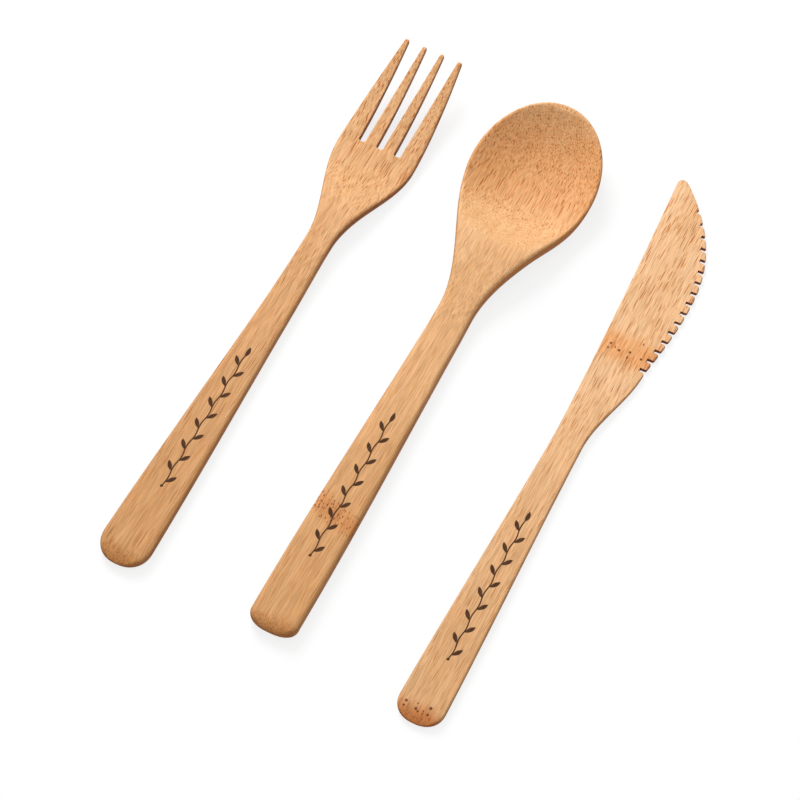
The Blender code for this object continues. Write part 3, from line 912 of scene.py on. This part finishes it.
class StripShader(Shader):
    """The shader of one strip of bamboo, with the place in the strip that every pattern reads.

    The strip's own axes lie across it, along it from the handle's end, and up from the table.
    """

    def __init__(self, name, place, turn, seed):
        super().__init__(name)
        coordinates = self.node("ShaderNodeTexCoord")
        self.normal = coordinates.outputs["Normal"]
        on_table = coordinates.outputs["Object"]
        lying = self.node("ShaderNodeMapping", {"vector_type": "TEXTURE"}, Vector=on_table)
        lying.inputs["Location"].default_value = (place[0], place[1], 0.0)
        lying.inputs["Rotation"].default_value = (0.0, 0.0, turn)
        self.place = lying.outputs[0]
        self.across, self.along, self.above = self.node("ShaderNodeSeparateXYZ", Vector=self.place).outputs
        wave = self.noise(self.place, WAVE_CELL, (seed, 0.5, 0.0))
        self.waved = self.calc("ADD", self.along, self.calc("MULTIPLY_ADD", wave, 2.0 * WAVE, -WAVE))


def wood(name, ground, looks, grain):
    """A maker of the wood of one piece, which needs the piece's place and turn on the table.

    All patterns are worked out in the strip's own three dimensions. The layers from the bottom up are the
    ground, its tints and strokes, the bands (growth rings, and the painted shade in the spoon's dish), the
    end grain, the pores, the painted shade on the sides and the burnt ornament. The fibres stand up a little,
    and the bundles and the ornament lie deeper and are rougher.
    """
    def make(place, turn):
        w = StripShader("bamboo_" + name + "_sanded", place, turn, grain.seed)
        bent = swayed(w, grain)
        fine = w.noise(
            bent, (looks.fibre_across, looks.fibre_along, looks.fibre_across), (grain.seed, 0.2, 0.0), 3.0,
        )
        bundle, thread = dashes(w, bent, looks, grain)
        base = tinted(w, bent, ground, grain.seed)
        base = fibred(w, base, bent, bundle, thread, fine, looks, grain.seed)
        base = banded(w, base, grain)
        base = speckled(w, base, grain)
        base = dotted(w, base, looks, grain)
        base = paint_side_shade(w, base, looks, grain)
        burn = leaf_row(w, grain.sprig_at, grain.sprig_aside)
        grainy = w.calc("MULTIPLY", burn, w.ramp(fine, *BURNT_FIBRES))
        base = w.mix(grainy, base, colour4(looks.burn))
        rougher = w.calc("MULTIPLY_ADD", w.calc("MAXIMUM", bundle, burn), ROUGHER, looks.roughness)
        height = w.calc("SUBTRACT", fine, w.calc("MULTIPLY", bundle, BUNDLE_HOLLOW))
        height = w.calc("SUBTRACT", height, burn)
        bump = w.node("ShaderNodeBump", Strength=BUMP_STRENGTH, Distance=BUMP_HEIGHT, Height=height)
        w.feed(w.surface.inputs["Base Color"], base)
        w.feed(w.surface.inputs["Roughness"], rougher)
        w.feed(w.surface.inputs["Specular IOR Level"], looks.gloss)
        w.feed(w.surface.inputs["Normal"], bump.outputs[0])
        return w.material
    return make


def swayed(w, grain):
    """The place in the strip as the fibres see it.

    A soft noise sways them sideways, and another shifts them along, so that neighbours don't end at one line.
    """
    cell = w.stretched(w.place, SWAY_CELL, (grain.seed, 0.0, 0.0))
    sway = w.node("ShaderNodeTexNoise", Vector=cell, Scale=1.0, Detail=1.0)
    bend = w.node("ShaderNodeVectorMath", {"operation": "MULTIPLY_ADD"}, _0=sway.outputs["Color"])
    bend.inputs[1].default_value = SWAY
    w.feed(bend.inputs[2], w.place)
    stagger = w.noise(w.place, STAGGER_CELL, (grain.seed, 0.6, 0.0), 1.0)
    shift = w.node("ShaderNodeCombineXYZ", _1=w.calc("MULTIPLY", stagger, 3.0 * grain.run))
    bent = w.node("ShaderNodeVectorMath", {"operation": "ADD"}, _0=bend.outputs[0], _1=shift.outputs[0])
    return bent.outputs[0]


def dashes(w, bent, looks, grain):
    """Where the fibre bundles and the fine threads are.

    Both are scattered points drawn out along the strip over the length of their run, so a flat cuts them to
    streaks and a slope to dashes and dots.
    """
    rising = w.ramp(w.along, grain.rise_from, grain.rise_to, grain.faint, grain.strong)
    bundle = w.strokes(bent, looks.bundle_across, grain.run, grain.seed, *BUNDLE)
    thread = w.strokes(bent, looks.thread_across, 0.5 * grain.run, grain.seed + 1.7, *THREAD)
    return w.calc("MULTIPLY", bundle, rising), w.calc("MULTIPLY", thread, rising)


def tinted(w, bent, ground, seed):
    """The ground, lighter and deeper by a broad soft noise drawn out along the strip, with worn patches."""
    broad = w.noise(bent, BROAD_CELL, (seed, 0.3, 0.0))
    patch = w.noise(w.place, PATCH_CELL, (seed, 0.4, 0.0))
    base = w.mix(w.ramp(broad, *BROAD_RANGE), colour4(ground, LIGHT), colour4(ground, DEEP))
    return w.mix(w.ramp(patch, *PATCH_RANGE), base, colour4(ground, WORN))


def fibred(w, base, bent, bundle, thread, fine, looks, seed):
    """Threads, bundles, pale and fine fibres over the ground, and the handle a shade darker than the head."""
    pale = w.strokes(bent, looks.pale_across, looks.pale_along, seed + 3.1, *PALE)
    base = w.stained(base, thread, 1.0, looks.thread)
    base = w.stained(base, bundle, 1.0, looks.bundle)
    base = w.mix(w.calc("MULTIPLY", pale, PALE_STRENGTH), base, colour4(looks.pale))
    base = w.shaded(base, w.ramp(fine, *FIBRE_SHADE))
    return w.stained(base, w.ramp(w.along, *HANDLE_SHADE, 1.0, 0.0), 1.0, looks.handle)


def banded(w, base, grain):
    """Bands: a soft stain by the distance from the band's line, and short dark dashes close to it.
    They are growth rings, but the spoon's broad band is painted shade in its dish.
    """
    for ring in grain.bands:
        off = w.calc("SUBTRACT", w.calc("MULTIPLY_ADD", w.across, ring.lean, w.waved), ring.at)
        off = w.calc("ABSOLUTE", off)
        # The soft stain, which in the spoon's dish is painted shade
        soft = w.calc("MULTIPLY", w.ramp(off, 0.25 * ring.reach, ring.reach, 1.0, 0.0), ring.strength)
        base = w.stained(base, soft, BAND_STRENGTH, BAND_STAIN)
        near = w.ramp(off, 0.5 * ring.reach, ring.reach, 1.0, 0.0)
        cell = (ring.dash_across, ring.dash_along, ring.dash_across)
        far, own = w.cells(w.place, cell, (grain.seed, ring.at, 0.001), UNEVEN_SPECKS)
        chosen = w.ramp(own, 1.0 - ring.dash_share, 1.1 - ring.dash_share)
        dash = w.calc("MULTIPLY", w.ramp(far, *DASH_RIM, 1.0, 0.0), chosen)
        base = w.stained(base, w.calc("MULTIPLY", dash, near), DASH_STRENGTH, DASH_STAIN)
    return base


def speckled(w, base, grain):
    """The handle's browner end with its flecks, up to a line that follows the round end as a parabola."""
    reach, stain, cell = grain.end
    line = w.calc("MULTIPLY_ADD", w.calc("MULTIPLY", w.across, w.across), END_BOW, w.waved)
    zone = w.ramp(line, 0.3 * reach, reach, 1.0, 0.0)
    base = w.stained(base, zone, END_STRENGTH, stain)
    far, own = w.cells(w.place, (cell, cell, cell), (grain.seed, 0.9, 0.0), UNEVEN_SPECKS)
    fleck = w.calc("MULTIPLY", w.ramp(far, *FLECK_RIM, 1.0, 0.0), w.ramp(own, *FLECK_SHARE))
    return w.stained(base, w.calc("MULTIPLY", fleck, zone), END_STRENGTH, FLECK_STAIN)


def dotted(w, base, looks, grain):
    """Pores: dark dots, each by the distance from its middle, with a faint brown halo."""
    for pore in grain.pores:
        ahead, beside = w.calc("SUBTRACT", w.along, pore.at), w.calc("SUBTRACT", w.across, pore.aside)
        far = w.calc("ADD", w.calc("MULTIPLY", ahead, ahead), w.calc("MULTIPLY", beside, beside))
        far = w.calc("SQRT", far)
        halo = w.ramp(far, pore.radius, 4.0 * pore.radius, HALO_STRENGTH, 0.0)
        hollow = w.ramp(far, 1.1 * pore.radius, 2.0 * pore.radius, 1.0, 0.0)
        base = w.stained(base, halo, 1.0, HALO_STAIN)
        base = w.mix(w.calc("MULTIPLY", hollow, PORE_STRENGTH), base, colour4(looks.pore))
    return base


def paint_side_shade(w, base, looks, grain):
    """Painted shade on the sides, browner by how little the surface faces up or down, and deeper still over
    one stretch as painted shade and scorch together.
    """
    # Painted shade by the normal: the more sideways a surface faces, the darker it is painted
    up = w.node("ShaderNodeSeparateXYZ", Vector=w.normal).outputs[2]
    side = w.ramp(w.calc("ABSOLUTE", up), *SIDE_FACING, 1.0, 0.0)
    base = w.stained(base, side, looks.side_shade_strength, looks.side)
    # Deeper painted shade, partly scorch, on the sides beyond one place across and one place along
    from_across, from_along, stain = grain.shade_and_scorch
    right = w.ramp(w.across, from_across, from_across + SHADE_SCORCH_BLUR_ACROSS)
    ahead = w.ramp(w.along, from_along, from_along + SHADE_SCORCH_BLUR_ALONG)
    zone = w.calc("MULTIPLY", right, ahead)
    return w.stained(base, w.calc("MULTIPLY", zone, side), 1.0, stain)


def leaf(w, ahead, beside):
    """Where one leaf is, by the place ahead of its middle and beside its middle line.

    The distance beside over the half width, plus the square of the distance ahead over the half length, is
    below about one.
    """
    long = w.calc("DIVIDE", ahead, LEAF_LONG)
    wide = w.calc("DIVIDE", w.calc("ABSOLUTE", beside), LEAF_WIDE)
    return w.ramp(w.calc("ADD", w.calc("MULTIPLY", long, long), wide), *LEAF_RIM, 1.0, 0.0)


def leaf_row(w, start, aside):
    """Where the ornament is burnt: a gently waving stem with leaves, by turns on its right and on its left.

    The stem's middle line is a sine. Each cell of it holds one leaf, turned by the slant, and every other
    cell is mirrored. A dot begins the stem and one more leaf ends it. The underside stays plain.
    """
    end = LEAF_COUNT * LEAF_PITCH
    u = w.calc("SUBTRACT", w.along, start)
    swing = w.calc("MULTIPLY", w.calc("SINE", w.calc("MULTIPLY", u, math.pi / LEAF_PITCH)), STEM_WAVE)
    v = w.calc("SUBTRACT", w.calc("SUBTRACT", w.across, aside), swing)

    cell = w.calc("FLOOR", w.calc("DIVIDE", u, LEAF_PITCH))
    sign = w.calc("MULTIPLY_ADD", w.calc("MODULO", w.calc("ABSOLUTE", cell), 2.0), -2.0, 1.0)
    p = w.calc("SUBTRACT", w.calc("SUBTRACT", u, w.calc("MULTIPLY", cell, LEAF_PITCH)), 0.5 * LEAF_PITCH)
    q = w.calc("SUBTRACT", w.calc("MULTIPLY", v, sign), LEAF_ASIDE)
    cosine, sine = math.cos(LEAF_SLANT), math.sin(LEAF_SLANT)
    ahead = w.calc("ADD", w.calc("MULTIPLY", p, cosine), w.calc("MULTIPLY", q, sine))
    beside = w.calc("SUBTRACT", w.calc("MULTIPLY", q, cosine), w.calc("MULTIPLY", p, sine))
    inside = w.calc("MULTIPLY", w.calc("GREATER_THAN", u, 0.0), w.calc("LESS_THAN", u, end))
    leaves = w.calc("MULTIPLY", leaf(w, ahead, beside), inside)

    stem = w.ramp(w.calc("ABSOLUTE", v), 0.7 * STEM_WIDE, 1.25 * STEM_WIDE, 1.0, 0.0)
    stem = w.calc("MULTIPLY", stem, w.calc("GREATER_THAN", u, -2.0 * DOT_REACH))
    stem = w.calc("MULTIPLY", stem, w.calc("LESS_THAN", u, end + LEAF_LONG))
    last = leaf(w, w.calc("SUBTRACT", u, end + LEAF_LONG), v)
    before = w.calc("ADD", u, 2.0 * DOT_REACH)
    far = w.calc("SQRT", w.calc("ADD", w.calc("MULTIPLY", before, before), w.calc("MULTIPLY", v, v)))
    dot = w.ramp(far, 0.8 * DOT_REACH, 1.15 * DOT_REACH, 1.0, 0.0)
    mark = w.calc("MAXIMUM", w.calc("MAXIMUM", w.calc("MAXIMUM", leaves, stem), last), dot)
    return w.calc("MULTIPLY", mark, w.calc("GREATER_THAN", w.above, TOP_FACE_FROM))


FORK_GRAIN = Grain(
    seed=3.1, run=0.012, rise_from=0.130, rise_to=0.166, faint=0.75, strong=1.40,
    end=EndGrain(reach=0.0068, stain=(0.86, 0.73, 0.56), fleck=0.00055),
    # The fork's head and slot walls: deeper painted shade, partly scorch
    shade_and_scorch=ShadeAndScorch(from_across=-0.0200, from_along=0.1180, stain=(0.70, 0.54, 0.42)),
    sprig_at=0.0284, sprig_aside=0.0,
)

SPOON_GRAIN = Grain(
    seed=7.7, run=0.009, rise_from=0.150, rise_to=0.163, faint=0.50, strong=1.40,
    end=EndGrain(reach=0.0068, stain=(0.90, 0.76, 0.60), fleck=0.00055),
    # The spoon's shoulders and bowl sides: deeper painted shade, partly scorch
    shade_and_scorch=ShadeAndScorch(from_across=-0.0300, from_along=0.1120, stain=(0.95, 0.84, 0.68)),
    sprig_at=0.0270, sprig_aside=0.0,
    bands=(
        Band(0.0408, 0.27, 0.0052, 1.0, 0.00062, 0.0016, 0.95),
        # Painted shade: the dish darker and redder, for the shade and the light thrown back inside the hollow
        Band(0.1750, 0.0, 0.0230, 0.8, 0.0007, 0.0015, 0.0),
    ),
)

KNIFE_GRAIN = Grain(
    seed=12.4, run=0.008, rise_from=0.090, rise_to=0.142, faint=0.70, strong=1.25,
    end=EndGrain(reach=0.0080, stain=(0.72, 0.42, 0.20), fleck=0.00070),
    # The knife's notch walls: deeper painted shade, partly scorch
    shade_and_scorch=ShadeAndScorch(from_across=0.0030, from_along=0.1285, stain=(0.55, 0.28, 0.17)),
    sprig_at=0.0226, sprig_aside=0.0004,
    bands=(Band(0.1367, 0.0, 0.0070, 1.2, 0.0009, 0.0018, 0.15),),
    pores=(
        Pore(0.1365, -0.0030, 0.00022), Pore(0.1348, -0.0032, 0.00018), Pore(0.1354, 0.0002, 0.00026),
        Pore(0.1363, 0.0034, 0.00024), Pore(0.1343, 0.0034, 0.00018), Pore(0.1357, 0.0074, 0.00024),
        Pore(0.0050, -0.0045, 0.00026), Pore(0.0035, -0.0046, 0.00022), Pore(0.0057, -0.0011, 0.00014),
        Pore(0.0040, -0.0010, 0.00026), Pore(0.0035, -0.0002, 0.00018), Pore(0.0043, 0.0013, 0.00014),
        Pore(0.0059, 0.0028, 0.00030), Pore(0.0038, 0.0029, 0.00022),
    ),
)


class MakeFork(bpy.types.Operator):
    """Makes the fork"""

    bl_idname = "cutlery.fork"
    bl_label = "Fork"

    def execute(self, context):
        s = context.scene.cutlery_fork
        looks = context.scene.cutlery_wood
        made = wood("fork", looks.fork, looks, FORK_GRAIN)
        closed_piece("fork_body", fork_lanes(s), "fork", s.turn, made)
        return {"FINISHED"}


class MakeSpoon(bpy.types.Operator):
    """Makes the spoon"""

    bl_idname = "cutlery.spoon"
    bl_label = "Spoon"

    def execute(self, context):
        s = context.scene.cutlery_spoon
        looks = context.scene.cutlery_wood
        made = wood("spoon", looks.spoon, looks, SPOON_GRAIN)
        closed_piece("spoon_body", spoon_lanes(s), "spoon", s.turn, made)
        return {"FINISHED"}


class MakeKnife(bpy.types.Operator):
    """Makes the knife"""

    bl_idname = "cutlery.knife"
    bl_label = "Knife"

    def execute(self, context):
        s = context.scene.cutlery_knife
        looks = context.scene.cutlery_wood
        made = wood("knife", looks.knife, looks, KNIFE_GRAIN)
        closed_piece("knife_body", knife_lanes(s), "knife", s.turn, made)
        return {"FINISHED"}


class MakeStage(bpy.types.Operator):
    """Makes the table, the lights and the camera"""

    bl_idname = "cutlery.stage"
    bl_label = "Stage"

    def execute(self, context):
        s = context.scene.cutlery_stage
        context.scene.view_settings.view_transform = "Standard"
        aim = Vector(s.aim)
        away = Vector((-math.sin(s.turn), math.cos(s.turn), 0.0))
        table(s)
        sky(s)
        lamp("key_lamp", aim, away, s.key_side, s.key_height, s.key_distance, s.key_reach, s.key)
        lamp("top_lamp", aim, away, 0.0, s.top_height, s.top_distance, s.top_reach, s.top)
        camera = bpy.data.cameras.new("camera")
        camera.lens = s.lens
        camera.sensor_width = 36.0
        camera.clip_end = 50.0
        holder = bpy.data.objects.new("camera", camera)
        holder.location = aim - s.distance * (away * math.cos(s.tilt) - Vector((0.0, 0.0, math.sin(s.tilt))))
        holder.rotation_euler = (aim - holder.location).to_track_quat("-Z", "Y").to_euler()
        context.scene.collection.objects.link(holder)
        context.scene.camera = holder
        return {"FINISHED"}


def table(s):
    """A large plain table just under the cutlery, white to the camera and keeping the soft shadows."""
    along = np.linspace(-s.table_reach, s.table_reach, 9)
    x, y = np.meshgrid(along, along)
    points = np.stack([x, y, np.full_like(x, -TABLE_DROP)], axis=-1).reshape(-1, 3)
    data = bpy.data.meshes.new("table")
    data.from_pydata(points, [], quads(np.arange(x.size).reshape(x.shape)))
    floor = bpy.data.objects.new("table", data)
    bpy.context.scene.collection.objects.link(floor)
    w = Shader("table_white")
    w.surface.inputs["Roughness"].default_value = 0.9
    w.surface.inputs["Specular IOR Level"].default_value = 0.0
    path = w.node("ShaderNodeLightPath")
    seen = w.calc("MAXIMUM", path.outputs["Is Camera Ray"], path.outputs["Is Glossy Ray"])
    seen = w.calc("MAXIMUM", seen, path.outputs["Is Transmission Ray"])
    w.feed(w.surface.inputs["Base Color"], w.mix(seen, colour4(s.floor_bounce), (1.0, 1.0, 1.0, 1.0)))
    plain = w.node("ShaderNodeEmission", Color=(1.0, 1.0, 1.0, 1.0), Strength=1.0)
    both = w.node("ShaderNodeMixShader", _0=w.calc("MULTIPLY", seen, s.floor_share))
    w.feed(both.inputs[1], w.surface.outputs[0])
    w.feed(both.inputs[2], plain.outputs[0])
    w.feed(w.tree.nodes["Material Output"].inputs["Surface"], both.outputs[0])
    data.materials.append(w.material)


def sky(s):
    """Even light from all round, and plain white behind everything."""
    world = bpy.data.worlds.new("studio")
    bpy.context.scene.world = world
    world.use_nodes = True
    tree = world.node_tree
    path = tree.nodes.new("ShaderNodeLightPath")
    strength = tree.nodes.new("ShaderNodeMapRange")
    strength.inputs["To Min"].default_value = s.sky
    strength.inputs["To Max"].default_value = 1.0
    tree.links.new(path.outputs["Is Camera Ray"], strength.inputs["Value"])
    tree.nodes["Background"].inputs["Color"].default_value = (1.0, 1.0, 1.0, 1.0)
    tree.links.new(strength.outputs["Result"], tree.nodes["Background"].inputs["Strength"])


def lamp(name, aim, away, leftwards, height, distance, reach, power):
    """A square soft lamp beyond the set, turned leftwards from straight away, facing the aim."""
    turned = Matrix.Rotation(leftwards, 3, "Z") @ away
    data = bpy.data.lights.new(name, "AREA")
    data.size = reach
    data.energy = power
    holder = bpy.data.objects.new(name, data)
    holder.location = aim + distance * (turned * math.cos(height) + Vector((0.0, 0.0, math.sin(height))))
    holder.rotation_euler = (aim - holder.location).to_track_quat("-Z", "Y").to_euler()
    bpy.context.scene.collection.objects.link(holder)


class CutleryPanel(bpy.types.Panel):
    """Lists the makers of the pieces and of the stage, each with its values"""

    bl_idname = "VIEW3D_PT_cutlery"
    bl_label = "Cutlery"
    bl_space_type = "VIEW_3D"
    bl_region_type = "UI"
    bl_category = "Cutlery"

    def draw(self, context):
        for group in GROUPS:
            if group in MAKERS:
                self.layout.operator(MAKERS[group].bl_idname)
            else:
                self.layout.label(text="Wood")
            values = getattr(context.scene, group)
            for key in values.bl_rna.properties.keys():
                if key not in ("rna_type", "name"):
                    self.layout.prop(values, key)


GROUPS = {
    "cutlery_fork": ForkSizes,
    "cutlery_spoon": SpoonSizes,
    "cutlery_knife": KnifeSizes,
    "cutlery_wood": WoodLooks,
    "cutlery_stage": StageLooks,
}
MAKERS = {
    "cutlery_fork": MakeFork,
    "cutlery_spoon": MakeSpoon,
    "cutlery_knife": MakeKnife,
    "cutlery_stage": MakeStage,
}
CLASSES = (*GROUPS.values(), *MAKERS.values(), CutleryPanel)


def register():
    """Adds the classes, and one group of values to the scene for each piece, the wood and the stage."""
    for made in CLASSES:
        bpy.utils.register_class(made)
    for key, group in GROUPS.items():
        setattr(bpy.types.Scene, key, PointerProperty(type=group))


def unregister():
    """Takes the groups and the classes away again."""
    for key in GROUPS:
        delattr(bpy.types.Scene, key)
    for made in reversed(CLASSES):
        bpy.utils.unregister_class(made)


def main():
    """Makes everything."""
    register()
    bpy.ops.cutlery.stage()
    bpy.ops.cutlery.fork()
    bpy.ops.cutlery.spoon()
    bpy.ops.cutlery.knife()


if __name__ == "__main__":
    main()
